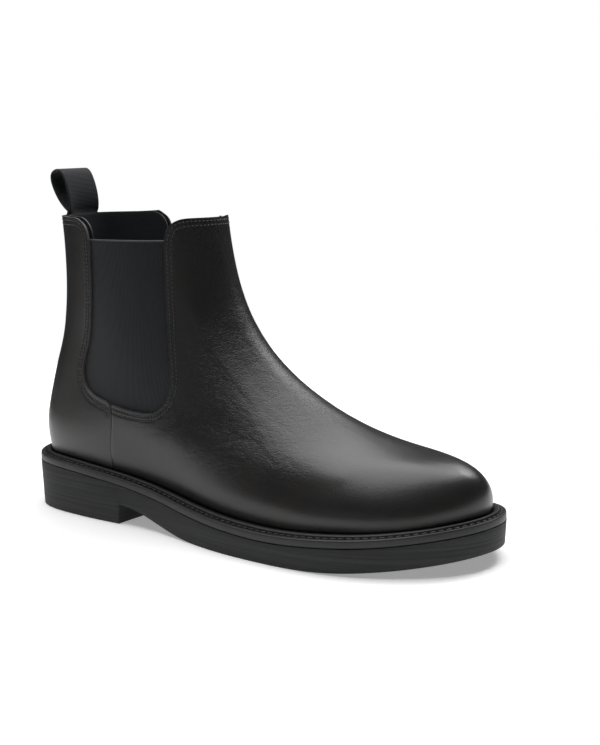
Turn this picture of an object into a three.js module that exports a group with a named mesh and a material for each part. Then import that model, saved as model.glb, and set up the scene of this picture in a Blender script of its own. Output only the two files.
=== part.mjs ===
// A right-foot chelsea boot in men's EU 45: a welted leather ankle boot with an elastic gore on each side,
// a webbing pull tab at the back and a one-piece rubber sole and heel.
// Units are millimetres. +X points to the toe, +Y to the inner side of the foot and +Z up.
//
// The upper is drawn as a last: a stack of closed loops from the feather line, where the upper meets the
// welt, up to the topline. A point on it is given by an angle round the loop (0 at the heel, a quarter turn
// at the outer side, a half turn at the toe) and a level (0 at the feather line, 1 at the topline).
// Every layer of the upper is the last's surface at its own depths, measured inwards along the normal.

import * as THREE from "three";
import { mergeVertices } from "three/addons/utils/BufferGeometryUtils.js";

// ---- overall sizes ----
const LAST_LENGTH = 305; // feather line, from heel to toe
const LAST_WIDTH = 97.5; // feather line across the ball
const SHAFT_HEIGHT = 148; // feather line to topline, at the heel

// ---- thicknesses and depths of the layers of the upper ----
const LEATHER = 1.6;
const LINING = 1;
const INTERLAYER = 2.5; // room between leather and lining for gores, stiffeners and webbing
const STIFFENER = 0.7;
const GORE = 0.9;
const WEBBING = 1.2;
const BACKSTAY = 1.1;
const PLY_GAP = 0.3; // clearance between neighbouring pieces that touch in the real boot

// ---- bottom of the boot ----
const HEEL_SEAT_RISE = 33; // floor to feather line at the heel
const HEEL_LENGTH = 91; // back of the heel to its breast
const ARCH_CLEARANCE = 12; // floor to sole at the heel breast
const BREAST_SLANT = 1;
const WELT_WIDTH = 7.8; // how far the welt stands out of the feather line
const WELT_THICKNESS = 4.5;
const BEAD_HEIGHT = 1.6; // raised rib of the welt beside the upper
const GROOVE_DEPTH = 1.4; // stitch groove along the middle of the welt
const THREAD = 0.9;
const SOLE_TAPER = 0.9; // how far the sole's wall leans in at the floor
const LASTING_MARGIN = 11; // leather turned in under the insole
const RIB = 1.2;
const INSOLE = 2.5;
const SHANK = 1.4;
const SHANK_WIDTH = 14;
const SHANK_START = 38;
const SOCK = 1.2;
const HEEL_PAD = 2.2;

// ---- side gores ----
const GORE_TOP = 13; // topline down to the top of the gore
const GORE_SEAM = 7; // gore under the leather along its sides and foot
const TOP_CORNER = 10; // radius of the leather's corners beside the gore

// ---- pull tab ----
const TAB_WIDTH = 25;
const TAB_RISE = 29; // topline to the top of the loop
const TAB_LEGS = 24; // webbing sewn in below the topline
const TAB_PIVOT = 2.2; // topline up to the line that the loop swings about

// ---- colours ----
const matte = (hex, roughness) => new THREE.MeshStandardMaterial({ color: hex, roughness, metalness: 0 });
const leather = matte(0x1b1a1a, 0.42);
const liningLeather = matte(0x17181a, 0.6);
const elastic = matte(0x1c1f24, 0.85);
const webbing = matte(0x14161c, 0.8);
const rubber = matte(0x202020, 0.7);
const weltRubber = matte(0x242424, 0.5);
const thread = matte(0x101010, 0.6);
const board = matte(0x9a7f5c, 0.85);
const cork = matte(0xa87f50, 0.95);
const stiffenerFibre = matte(0xc9bda6, 0.9);
const foam = matte(0x3a3a3a, 0.95);
const steel = new THREE.MeshStandardMaterial({ color: 0x8d9196, roughness: 0.4, metalness: 0.9 });

// ---- curves ----

const lerp = THREE.MathUtils.lerp;
const degrees = THREE.MathUtils.degToRad;

// A smooth function through [position, value] stations, in order of position.
function curveThrough(stations) {
  const slope = (i) => {
    const before = stations[Math.max(i - 1, 0)];
    const after = stations[Math.min(i + 1, stations.length - 1)];
    return (after[1] - before[1]) / (after[0] - before[0]);
  };
  const slopes = stations.map((_, i) => slope(i));
  return (position) => {
    const last = stations.length - 2;
    const found = stations.findIndex(([end], i) => i > 0 && position <= end) - 1;
    const i = found < 0 ? last : found;
    const [start, value] = stations[i];
    const [end, next] = stations[i + 1];
    const span = end - start;
    const t = THREE.MathUtils.clamp((position - start) / span, 0, 1);
    return (
      value * (2 * t ** 3 - 3 * t ** 2 + 1) +
      slopes[i] * span * (t ** 3 - 2 * t ** 2 + t) +
      next * (3 * t ** 2 - 2 * t ** 3) +
      slopes[i + 1] * span * (t ** 3 - t ** 2)
    );
  };
}

// Whole numbers from 0 to count, as shares of it.
const steps = (count) => Array.from({ length: count + 1 }, (_, i) => i / count);

// ---- the last ----

// The lines plan of the last, drawn at these sizes and graded to the overall sizes above.
const PLAN = { length: 305, width: 97.5, height: 148, heel: 33 };
// Angles at which a loop's half widths are given, in degrees from the heel.
const HALF_WIDTH_ANGLES = [25, 50, 75, 100, 125, 150];
// Each loop: its level, its back and front points as [x, z], and its half widths.
const LOOPS = [
  [0, [4.5, 33], [309.5, 25.5], [26.5, 34.2, 33.2, 45, 48.7, 32.7]],
  [0.08, [3, 44.8], [311, 36], [28, 36.8, 36.3, 47.2, 49.8, 31.6]],
  [0.16, [3.2, 56.5], [307, 46.5], [28, 36.8, 37.8, 45, 43.5, 25]],
  [0.25, [6, 70], [294, 53.5], [26.4, 35.8, 38.4, 41.3, 38, 22]],
  [0.4, [13.3, 91.8], [253, 59.5], [24.5, 33.5, 36.8, 35.5, 31.5, 17.5]],
  [0.55, [21, 114], [204.5, 77], [22, 32, 35.8, 33.5, 27, 15.8]],
  [0.7, [24.2, 136], [165.5, 106], [20, 31, 35.8, 33.7, 26, 14.6]],
  [0.85, [25, 158], [145, 143], [18.8, 30.5, 36.8, 35.4, 28.3, 16.2]],
  [1, [23.5, 181], [138, 181], [18.5, 30.8, 38, 37.6, 30.6, 18]],
];
// How far the loops' middle line lies towards the inner side, by angle, at the feather line.
const middleShift = curveThrough([[0, 0], [50, 0], [75, -2.5], [100, -2], [125, 1], [150, 4], [180, 6]]);
// Height of the feather line above the floor at the plan's x.
const featherRise = curveThrough([
  [0, HEEL_SEAT_RISE],
  [46, HEEL_SEAT_RISE - 1],
  [84, HEEL_SEAT_RISE - 4],
  [112, HEEL_SEAT_RISE - 7.5],
  [143, HEEL_SEAT_RISE - 12],
  [174, HEEL_SEAT_RISE - 15],
  [209, HEEL_SEAT_RISE - 16.2],
  [245, HEEL_SEAT_RISE - 14.4],
  [276, HEEL_SEAT_RISE - 11.9],
  [309, HEEL_SEAT_RISE - 7.5],
  [321, HEEL_SEAT_RISE - 5.8],
]);

const byLevel = (value) => curveThrough(LOOPS.map((loop) => [loop[0], value(loop)]));
const backX = byLevel((loop) => loop[1][0]);
const backZ = byLevel((loop) => loop[1][1]);
const frontX = byLevel((loop) => loop[2][0]);
const frontZ = byLevel((loop) => loop[2][1]);
const halfWidths = HALF_WIDTH_ANGLES.map((_, i) => byLevel((loop) => loop[3][i]));

// Half width of the loop at a level. It passes through zero at the heel and the toe, so both ends are round.
function halfWidthAt(level) {
  const given = HALF_WIDTH_ANGLES.map((angle, i) => [angle, halfWidths[i](level)]);
  const [heel] = given;
  const toe = given[given.length - 1];
  return curveThrough([[-heel[0], -heel[1]], [0, 0], ...given, [180, 0], [360 - toe[0], -toe[1]]]);
}

const alongAt = (turn) => (1 - Math.cos(degrees(turn))) / 2;
const planX = (turn) => lerp(backX(0), frontX(0), alongAt(turn));
// Height of the feather line at an angle, before grading.
const planRise = (turn) => featherRise(planX(turn)) - HEEL_SEAT_RISE + PLAN.heel;

// The bare surface of the last, without depth.
function lastPoint(angle, level) {
  const wrapped = ((angle % 360) + 360) % 360;
  const outerSide = wrapped <= 180;
  const turn = outerSide ? wrapped : 360 - wrapped;
  const along = alongAt(turn);
  const halfWidth = halfWidthAt(level)(turn) * (outerSide ? -1 : 1);
  const sag = planRise(turn) - lerp(backZ(0), frontZ(0), along);
  const fade = 1 - THREE.MathUtils.clamp(level, 0, 1);
  const x = lerp(backX(level), frontX(level), along);
  const y = middleShift(turn) * fade + halfWidth;
  const z = lerp(backZ(level), frontZ(level), along) + sag * fade ** 1.5;
  const rise = z - PLAN.heel;
  return new THREE.Vector3(
    (x * LAST_LENGTH) / PLAN.length,
    (y * LAST_WIDTH) / PLAN.width,
    HEEL_SEAT_RISE + (rise > 0 ? (rise * SHAFT_HEIGHT) / PLAN.height : rise),
  );
}

// The last's surface at a depth below it; a negative depth stands proud of it.
function last(angle, level, depth = 0) {
  const point = lastPoint(angle, level);
  if (depth === 0) return point;
  const reach = 0.02;
  const low = Math.min(level, 1 - reach);
  const round = lastPoint(angle + 1, level).sub(lastPoint(angle - 1, level));
  const up = lastPoint(angle, low + reach).sub(lastPoint(angle, Math.max(low - reach, 0)));
  return point.addScaledVector(round.cross(up).normalize(), -depth);
}

const TOPLINE = lastPoint(0, 1).z;

// The welt stands out further beside the outer ball.
const weltFlare = curveThrough([[0, 1], [60, 1], [95, 1.25], [120, 1.25], [155, 1.05], [180, 1], [360, 1]]);

// A point set out from the feather line by a distance, where a negative one lies inside, and lifted from the
// surface that carries that line across the boot.
function rim(angle, out, up = 0) {
  const point = lastPoint(angle, 0);
  const ahead = lastPoint(angle + 1, 0).sub(lastPoint(angle - 1, 0));
  const reach = out > 0 ? out * weltFlare(((angle % 360) + 360) % 360) : out;
  point.addScaledVector(new THREE.Vector3(ahead.y, -ahead.x, 0).normalize(), reach);
  return point.setZ(featherRise((point.x * PLAN.length) / LAST_LENGTH) + up);
}

// The angle and level of the point of the outer side that a side view shows at x and z.
function onSide(x, z) {
  const angleAt = (level) => {
    const back = lastPoint(0, level).x;
    const along = THREE.MathUtils.clamp((x - back) / (lastPoint(180, level).x - back), 0, 1);
    return THREE.MathUtils.radToDeg(Math.acos(1 - 2 * along));
  };
  let low = 0;
  let high = 1;
  for (let i = 0; i < 24; i++) {
    const level = (low + high) / 2;
    if (lastPoint(angleAt(level), level).z < z) low = level;
    else high = level;
  }
  const level = z >= TOPLINE ? 1 : (low + high) / 2;
  return { angle: angleAt(level), level };
}

// ---- solids ----

// One closed geometry from points and four-cornered faces that run anticlockwise as seen from outside.
// Points that coincide are joined, and faces that shrink to nothing are dropped.
function closedMesh(points, quads) {
  const corners = quads.flatMap(([a, b, c, d]) => [a, b, c, a, c, d]);
  const geometry = new THREE.BufferGeometry();
  geometry.setAttribute("position", new THREE.Float32BufferAttribute(points.flatMap((p) => p.toArray()), 3));
  geometry.setIndex(corners);
  const merged = mergeVertices(geometry, 1e-3);
  const kept = [];
  for (let i = 0; i < merged.index.count; i += 3) {
    const [a, b, c] = [0, 1, 2].map((k) => merged.index.getX(i + k));
    if (a !== b && b !== c && a !== c) kept.push(a, b, c);
  }
  merged.setIndex(kept);
  merged.computeVertexNormals();
  return merged;
}

// A sheet of some thickness from columns of nodes, where a node gives its point at a depth.
function sheet(columns, outerDepth, innerDepth) {
  const tall = columns[0].length;
  const wide = columns.length;
  const points = [outerDepth, innerDepth].flatMap((depth) => columns.flat().map((node) => node(depth)));
  const at = (side, column, row) => side * wide * tall + column * tall + row;
  const quads = [];
  for (let c = 0; c < wide - 1; c++) {
    for (let r = 0; r < tall - 1; r++) {
      quads.push([at(0, c, r), at(0, c + 1, r), at(0, c + 1, r + 1), at(0, c, r + 1)]);
      quads.push([at(1, c, r), at(1, c, r + 1), at(1, c + 1, r + 1), at(1, c + 1, r)]);
    }
    quads.push([at(0, c + 1, 0), at(0, c, 0), at(1, c, 0), at(1, c + 1, 0)]);
    quads.push([at(0, c, tall - 1), at(0, c + 1, tall - 1), at(1, c + 1, tall - 1), at(1, c, tall - 1)]);
  }
  for (let r = 0; r < tall - 1; r++) {
    quads.push([at(0, 0, r), at(0, 0, r + 1), at(1, 0, r + 1), at(1, 0, r)]);
    quads.push([at(0, wide - 1, r + 1), at(0, wide - 1, r), at(1, wide - 1, r), at(1, wide - 1, r + 1)]);
  }
  return closedMesh(points, quads);
}

// A section, as [out, up] corners from the feather line, carried right round the boot.
function ring(section, count) {
  const size = section.length;
  const points = Array.from({ length: count }, (_, i) =>
    section.map(([out, up]) => rim((360 * i) / count, out, up)),
  ).flat();
  const quads = [];
  for (let i = 0; i < count; i++) {
    for (let k = 0; k < size; k++) {
      const here = i * size;
      const next = ((i + 1) % count) * size;
      const after = (k + 1) % size;
      quads.push([here + k, next + k, next + after, here + after]);
    }
  }
  return closedMesh(points, quads);
}

// A solid of strips across the boot. Each station gives its corners in the order top at the outer side, top
// at the inner side, foot at the inner side, foot at the outer side.
function strips(stations) {
  const quads = [];
  for (let s = 0; s < stations.length - 1; s++) {
    for (let k = 0; k < 4; k++) {
      const here = s * 4;
      const next = here + 4;
      const after = (k + 1) % 4;
      quads.push([here + k, next + k, next + after, here + after]);
    }
  }
  const end = (stations.length - 1) * 4;
  quads.push([0, 1, 2, 3], [end + 3, end + 2, end + 1, end]);
  return closedMesh(stations.flat(), quads);
}

// A layer inside the rim, its outline `out` from the feather line and its faces at heights above that line.
function slab(turns, out, top, foot) {
  return strips(
    turns.map((turn) => [
      rim(turn, out, top),
      rim(360 - turn, out, top),
      rim(360 - turn, out, foot),
      rim(turn, out, foot),
    ]),
  );
}

// A bar of constant width along the middle of the boot.
function bar(turns, width, top, foot) {
  return strips(
    turns.map((turn) => {
      const middle = rim(turn, 0).lerp(rim(360 - turn, 0), 0.5);
      const corner = (side, up) => middle.clone().add(new THREE.Vector3(0, (side * width) / 2, up));
      return [corner(-1, top), corner(1, top), corner(1, foot), corner(-1, foot)];
    }),
  );
}

// ---- upper: where the pieces' edges run ----

const LINING_OUT = LEATHER + INTERLAYER;
const LINING_IN = LINING_OUT + LINING;
const MIDDLE = (LEATHER + LINING_OUT) / 2;

// The gore's window in the leather, in the side view.
const WINDOW = {
  top: TOPLINE - GORE_TOP,
  foot: 68.5,
  rearTop: 69,
  rearLow: 54,
  rearFoot: 74,
  frontTop: 119,
  frontLow: 127.5,
  seam: 82,
};
const SEAM_FOOT = 78.5; // x of the side seam at the feather line
const SEAM_GAP = 0.4;

// From the top of the side seam, along the foot of the window and up its front edge to the topline.
function frontEdge() {
  const path = new THREE.Path();
  path.moveTo(WINDOW.seam, WINDOW.foot + 2.5);
  path.quadraticCurveTo(WINDOW.seam + 12, WINDOW.foot, WINDOW.frontLow - 16, WINDOW.foot);
  path.quadraticCurveTo(WINDOW.frontLow, WINDOW.foot, WINDOW.frontLow, WINDOW.foot + 20);
  path.quadraticCurveTo(WINDOW.frontTop, WINDOW.top - 55, WINDOW.frontTop, WINDOW.top);
  path.quadraticCurveTo(WINDOW.frontTop, TOPLINE, WINDOW.frontTop + TOP_CORNER, TOPLINE);
  return path;
}

// The same for its rear edge.
function rearEdge() {
  const path = new THREE.Path();
  path.moveTo(WINDOW.seam - SEAM_GAP, WINDOW.foot + 2.5);
  path.lineTo(WINDOW.rearLow + 12, WINDOW.rearFoot);
  path.quadraticCurveTo(WINDOW.rearLow, WINDOW.rearFoot + 3, WINDOW.rearLow, WINDOW.rearFoot + 16);
  const low = WINDOW.rearFoot + 25;
  path.bezierCurveTo(WINDOW.rearLow, low, WINDOW.rearTop - 2, low + 5, WINDOW.rearTop, WINDOW.top);
  path.quadraticCurveTo(WINDOW.rearTop, TOPLINE, WINDOW.rearTop - TOP_CORNER, TOPLINE);
  return path;
}

// Places along a list of places on the last, spaced by length and closer together towards the list's end.
function respaced(places, count, crowding) {
  const points = places.map(({ angle, level }) => lastPoint(angle, level));
  const run = [0];
  points.slice(1).forEach((point, i) => run.push(run[i] + point.distanceTo(points[i])));
  const total = run[run.length - 1];
  return steps(count).map((share) => {
    const target = total * (1 - (1 - share) ** crowding);
    const found = run.findIndex((length) => length >= target - 1e-9);
    const i = THREE.MathUtils.clamp(found, 1, run.length - 1);
    const t = (target - run[i - 1]) / (run[i] - run[i - 1]);
    return {
      angle: lerp(places[i - 1].angle, places[i].angle, t),
      level: lerp(places[i - 1].level, places[i].level, t),
    };
  });
}

const FINE = 80;
const SEAM_ANGLE = THREE.MathUtils.radToDeg(Math.acos(1 - (2 * (SEAM_FOOT - backX(0))) / (frontX(0) - backX(0))));
const SEAM_GAP_ANGLE = 0.18; // about SEAM_GAP along the feather line

// The upper edge of a panel: a path in the side view, then the topline round to an angle.
function upperEdge(path, end, count, crowding) {
  const side = path.getSpacedPoints(FINE).map(({ x, y }) => onSide(x, y));
  const corner = side[side.length - 1].angle;
  const across = steps(FINE / 4).slice(1).map((share) => ({ angle: lerp(corner, end, share), level: 1 }));
  return respaced([...side, ...across], count, crowding);
}

// The lower edge of a panel, along the feather line.
function lowerEdge(from, to, count, crowding) {
  const places = steps(FINE).map((share) => ({ angle: lerp(from, to, share), level: 0 }));
  return respaced(places, count, crowding);
}

// ---- upper: columns of nodes ----

// The turned-in margin of a layer: down behind the welt, then in under the insole.
const turnedDown = (angle) => (depth) => rim(angle, -depth, depth - WELT_THICKNESS);
const turnedIn = (angle) => (depth) => rim(angle, -LASTING_MARGIN, depth - WELT_THICKNESS);
const onLast = ({ angle, level }) => (depth) => last(angle, level, depth);

// The place a share of the way from one place to another.
const partWay = (from, to, share) => ({
  angle: lerp(from.angle, to.angle, share),
  level: lerp(from.level, to.level, share),
});

const margin = ({ angle }) => [turnedIn(angle), turnedDown(angle)];

// A column from the margin up to a place on a panel's upper edge, with rows closer together near the foot.
function column(foot, top, rows, crowding = 1.4) {
  const climb = steps(rows).map((share) => onLast(partWay(foot, top, share ** crowding)));
  return [...margin(foot), ...climb];
}

const columns = (feet, tops, rows, crowding) =>
  feet.map((foot, i) => column(foot, tops[i], rows, crowding));

// Places on the inner side that mirror places on the outer side about the heel.
const innerSide = (places) => places.map(({ angle, level }) => ({ angle: -angle, level }));

const FRONT_HALF = 20; // columns from the side seam to the middle of the toe
const REAR_HALF = 12; // columns from the side seam to the middle of the heel
const SEAM_ROWS = 4; // rows of a quarter up the side seam

// The front panel's shape, right round the toe from the outer seam to the inner one.
function frontColumns(rows, crowding) {
  const feet = lowerEdge(SEAM_ANGLE, 180, FRONT_HALF, 1.25);
  const tops = upperEdge(frontEdge(), 180, FRONT_HALF, 1.25);
  const beyond = (places) =>
    places
      .slice(0, -1)
      .reverse()
      .map(({ angle, level }) => ({ angle: 360 - angle, level }));
  return columns([...feet, ...beyond(feet)], [...tops, ...beyond(tops)], rows, crowding);
}

// The outer quarter's columns of places, from the heel to its front edge. Its rows follow the last round the heel,
// and end on the side seam, on the foot of the window and on the window's rear edge.
function quarterPlaces(backAngle, windowRows) {
  const edge = rearEdge().getSpacedPoints(FINE).map(({ x, y }) => onSide(x, y));
  const seamFoot = { angle: SEAM_ANGLE - SEAM_GAP_ANGLE, level: 0 };
  const seam = steps(FINE).map((share) => partWay(seamFoot, edge[0], share));
  const front = [...respaced(seam, SEAM_ROWS, 1), ...respaced(edge, windowRows, 1).slice(1)];
  return steps(REAR_HALF).map((across) =>
    front.map((end, row) => partWay({ angle: backAngle, level: row / (front.length - 1) }, end, across)),
  );
}

const quarterNodes = (places) => places.map((climb) => [...margin(climb[0]), ...climb.map(onLast)]);

// ---- the pieces ----

const boot = new THREE.Group();

function add(name, geometry, material) {
  const mesh = new THREE.Mesh(geometry, material);
  mesh.name = name;
  boot.add(mesh);
}

const SIDES = [
  ["lateral", 1],
  ["medial", -1],
];
const BACK_SEAM = 0.2; // angle from the middle of the heel to each quarter's edge

function addLeathers() {
  add("front_panel", sheet(frontColumns(13), 0, LEATHER), leather);
  const outer = quarterPlaces(BACK_SEAM, 16);
  add("quarter_lateral", sheet(quarterNodes(outer), 0, LEATHER), leather);
  add("quarter_medial", sheet(quarterNodes(outer.map(innerSide).reverse()), 0, LEATHER), leather);
}

function addBackStrip() {
  const halfAngle = curveThrough([[0, 11], [0.3, 13], [1, 15]]);
  const rows = 14;
  const grid = steps(6).map((across) =>
    steps(rows).map((up) => {
      const level = lerp(0.025, 0.985, up);
      return onLast({ angle: lerp(-1, 1, across) * halfAngle(level), level });
    }),
  );
  add("back_strip", sheet(grid, -PLY_GAP - BACKSTAY, -PLY_GAP), leather);
}

function addLinings() {
  add("front_lining", sheet(frontColumns(11, 1.25), LINING_OUT, LINING_IN), liningLeather);
  const outer = quarterPlaces(0, 14);
  const around = [...outer.slice(1).map(innerSide).reverse(), ...outer];
  add("rear_lining", sheet(quarterNodes(around), LINING_OUT, LINING_IN), liningLeather);
}

// The toe puff follows the lower middle part of the front panel's own grid.
function addToePuff() {
  const reach = 11;
  const rows = 8;
  const grid = frontColumns(13).slice(FRONT_HALF - reach, FRONT_HALF + reach + 1);
  add("toe_puff", stiffenerSheet(grid.map((nodes) => nodes.slice(0, rows))), stiffenerFibre);
}

function addHeelCounter() {
  const height = curveThrough([[0, 0.33], [22, 0.31], [38, 0.15], [62, 0.05]]);
  const grid = steps(20).map((share) => {
    const angle = 62 * lerp(-1, 1, share);
    return column({ angle, level: 0 }, { angle, level: height(Math.abs(angle)) }, 6);
  });
  add("heel_counter", stiffenerSheet(grid), stiffenerFibre);
}

const stiffenerSheet = (grid) => sheet(grid, MIDDLE - STIFFENER / 2, MIDDLE + STIFFENER / 2);

const GORE_DEPTH = LEATHER + 1.5 * PLY_GAP;

// Each gore fills its window and runs on under the leather along both sides and the foot.
function addGores() {
  const low = WINDOW.foot - GORE_SEAM;
  const rearX = curveThrough([
    [low, WINDOW.rearLow],
    [WINDOW.rearFoot + 10, WINDOW.rearLow - GORE_SEAM],
    [WINDOW.top, WINDOW.rearTop - GORE_SEAM],
  ]);
  const frontX = curveThrough([
    [low, WINDOW.frontLow + 2],
    [WINDOW.foot + 20, WINDOW.frontLow + GORE_SEAM],
    [WINDOW.top, WINDOW.frontTop + GORE_SEAM],
  ]);
  const grid = steps(11).map((across) =>
    steps(11).map((up) => {
      const z = lerp(low, WINDOW.top, up);
      return onSide(lerp(rearX(z), frontX(z), across), z);
    }),
  );
  SIDES.forEach(([name, side]) => {
    const placed = side > 0 ? grid : grid.map(innerSide).reverse();
    const nodes = placed.map((places) => places.map(onLast));
    add(`gore_${name}`, sheet(nodes, GORE_DEPTH, GORE_DEPTH + GORE), elastic);
  });
}

// ---- pull tab ----

const TAB_LEAN = degrees(20);
const TAB_DEPTH = 12.5; // fore-and-aft width of the loop
const TAB_COLUMNS = 6;
const LEGS_OUT = 1.4; // webbing's stub above the topline
const LEGS_THICKNESS = 1.4; // both plies pressed together

// The legs lie between the leather and the lining.
function addTabLegs() {
  const grid = steps(TAB_COLUMNS).map((across) => {
    const angleAt = (level) => {
      const perDegree = lastPoint(2, level).y / 2;
      return (lerp(1, -1, across) * TAB_WIDTH) / 2 / perDegree;
    };
    const inside = steps(4).map((up) => {
      const level = lerp(1 - TAB_LEGS / SHAFT_HEIGHT, 1, up);
      return onLast({ angle: angleAt(level), level });
    });
    const above = (depth) => last(angleAt(1), 1, depth).add(new THREE.Vector3(0, 0, LEGS_OUT));
    return [...inside, above];
  });
  const half = LEGS_THICKNESS / 2;
  add("pull_tab_legs", sheet(grid, MIDDLE - half, MIDDLE + half), webbing);
}

// The loop's outline in its own plane: u is fore and aft, v runs up the tab from the pivot.
function loopOutline() {
  const rise = TAB_RISE - TAB_PIVOT;
  const half = TAB_DEPTH / 2;
  const outline = new THREE.Path();
  outline.moveTo(0, 0);
  outline.bezierCurveTo(half * 0.5, rise * 0.1, half, rise * 0.35, half, rise * 0.68);
  outline.bezierCurveTo(half, rise * 0.93, half * 0.6, rise, 0, rise);
  outline.bezierCurveTo(-half * 0.6, rise, -half, rise * 0.93, -half, rise * 0.68);
  outline.bezierCurveTo(-half, rise * 0.35, -half * 0.5, rise * 0.1, 0, 0);
  return outline;
}

function addTabLoop() {
  const count = 22;
  const outline = loopOutline().getSpacedPoints(count).slice(0, count);
  const inside = outline.map((point, i) => {
    const before = outline[(i + count - 1) % count];
    const after = outline[(i + 1) % count];
    const across = new THREE.Vector2(before.y - after.y, after.x - before.x).normalize();
    return point.clone().addScaledVector(across, i === 0 ? 2.6 * WEBBING : WEBBING);
  });
  const base = last(0, 1, MIDDLE).add(new THREE.Vector3(0, 0, TAB_PIVOT));
  const rise = TAB_RISE - TAB_PIVOT;
  // The band follows the curve of the topline at its foot and straightens towards the top of the loop.
  const place = ({ x: u, y: v }, y) => {
    const sag = y * y * 0.013 * Math.max(1 - v / rise, 0) ** 1.5;
    return new THREE.Vector3(
      base.x + u * Math.cos(TAB_LEAN) - v * Math.sin(TAB_LEAN) + sag,
      y,
      base.z + v * Math.cos(TAB_LEAN) + u * Math.sin(TAB_LEAN),
    );
  };
  const points = steps(TAB_COLUMNS).flatMap((across) => {
    const y = (lerp(-1, 1, across) * TAB_WIDTH) / 2;
    return [...outline, ...inside].map((point) => place(point, y));
  });
  const quads = [];
  for (let i = 0; i < count; i++) {
    const next = (i + 1) % count;
    for (let c = 0; c < TAB_COLUMNS; c++) {
      const here = c * 2 * count;
      const beside = here + 2 * count;
      quads.push([here + i, beside + i, beside + next, here + next]);
      quads.push([here + count + i, here + count + next, beside + count + next, beside + count + i]);
    }
    const far = TAB_COLUMNS * 2 * count;
    quads.push([i, next, count + next, count + i]);
    quads.push([far + i, far + count + i, far + count + next, far + next]);
  }
  add("pull_tab_loop", closedMesh(points, quads), webbing);
}

// ---- bottom ----

const turnsBetween = (from, to, count) => steps(count).map((share) => lerp(from, to, share));
const turnAt = (x) => THREE.MathUtils.radToDeg(Math.acos(1 - (2 * (x - backX(0))) / (frontX(0) - backX(0))));
const OUTSOLE_TOP = -WELT_THICKNESS - PLY_GAP;

function addWelt() {
  const foot = -WELT_THICKNESS;
  const bead = WELT_WIDTH - 3.6; // outer edge of the bead
  const lip = WELT_WIDTH - 1.9; // inner edge of the lip
  const section = [
    [PLY_GAP, foot],
    [WELT_WIDTH, foot],
    [WELT_WIDTH, -0.5],
    [WELT_WIDTH - 0.5, 0],
    [lip, 0],
    [lip - 0.3, -GROOVE_DEPTH],
    [bead + 0.1, -GROOVE_DEPTH],
    [bead, BEAD_HEIGHT - 0.8],
    [bead - 0.7, BEAD_HEIGHT],
    [1.6, BEAD_HEIGHT],
    [0.9, BEAD_HEIGHT - 0.6],
    [PLY_GAP, -1],
  ];
  add("storm_welt", ring(section, 72), weltRubber);
}

function addThread() {
  const middle = WELT_WIDTH - 2.85;
  const foot = PLY_GAP - GROOVE_DEPTH;
  const half = THREAD / 2;
  const section = [
    [middle - half, foot],
    [middle + half, foot],
    [middle + half, foot + THREAD],
    [middle - half, foot + THREAD],
  ];
  add("welt_stitch_thread", ring(section, 72), thread);
}

const INSOLE_FOOT = LINING_IN - WELT_THICKNESS + PLY_GAP;
const RIB_OUT = -LASTING_MARGIN - 2 * PLY_GAP;
const FILLER_OUT = RIB_OUT - RIB - PLY_GAP;
const FILLER_FOOT = OUTSOLE_TOP + PLY_GAP;

function addInsole() {
  const out = -LINING_IN - 0.5;
  const whole = turnsBetween(0, 180, 26);
  const top = INSOLE_FOOT + INSOLE;
  add("insole_board", slab(whole, out, top, INSOLE_FOOT), board);
  const sockTop = top + PLY_GAP + SOCK;
  add("sock_liner", slab(whole, out, sockTop, top + PLY_GAP), liningLeather);
  const padFoot = sockTop + PLY_GAP;
  add("heel_pad", slab(turnsBetween(0, turnAt(88), 10), out - 3, padFoot + HEEL_PAD, padFoot), foam);
}

function addRib() {
  const section = [
    [RIB_OUT - RIB, FILLER_FOOT],
    [RIB_OUT, FILLER_FOOT],
    [RIB_OUT, INSOLE_FOOT - PLY_GAP],
    [RIB_OUT - RIB, INSOLE_FOOT - PLY_GAP],
  ];
  add("insole_rib", ring(section, 72), board);
}

function addFillers() {
  const top = INSOLE_FOOT - PLY_GAP;
  const joint = turnAt(160);
  const shankFoot = top - SHANK;
  add("cork_filler", slab(turnsBetween(joint, 180, 14), FILLER_OUT, top, FILLER_FOOT), cork);
  const waist = turnsBetween(0, joint - 0.4, 16);
  add("waist_filler", slab(waist, FILLER_OUT, shankFoot - PLY_GAP, FILLER_FOOT), foam);
  const underShank = waist.filter((turn) => planX(turn) > SHANK_START);
  add("shank", bar(underShank, SHANK_WIDTH, top, shankFoot), steel);
}

// Height of the sole's lower face above the floor, by plan x, in front of the heel breast.
const soleFoot = curveThrough([
  [HEEL_LENGTH, ARCH_CLEARANCE],
  [105, 0.8 * ARCH_CLEARANCE],
  [120, 0.45 * ARCH_CLEARANCE],
  [138, 0.12 * ARCH_CLEARANCE],
  [154, 0],
  [228, 0],
  [250, 1],
  [276, 3.8],
  [296, 6.8],
  [309, 9],
]);

// The angle where a line round the rim reaches x, on the outer side or the inner side.
function rimAngle(x, out, inner) {
  let low = 0;
  let high = 180;
  for (let i = 0; i < 30; i++) {
    const middle = (low + high) / 2;
    if (rim(inner ? 360 - middle : middle, out).x < x) low = middle;
    else high = middle;
  }
  return inner ? 360 - low : low;
}

// A station of the sole: its wall at two angles, with the height of its lower face above the floor.
function soleStation(outerAngle, innerAngle, floor) {
  const top = (angle) => rim(angle, WELT_WIDTH, OUTSOLE_TOP);
  const foot = (angle) => rim(angle, WELT_WIDTH - SOLE_TAPER).setZ(floor);
  return [top(outerAngle), top(innerAngle), foot(innerAngle), foot(outerAngle)];
}

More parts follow.
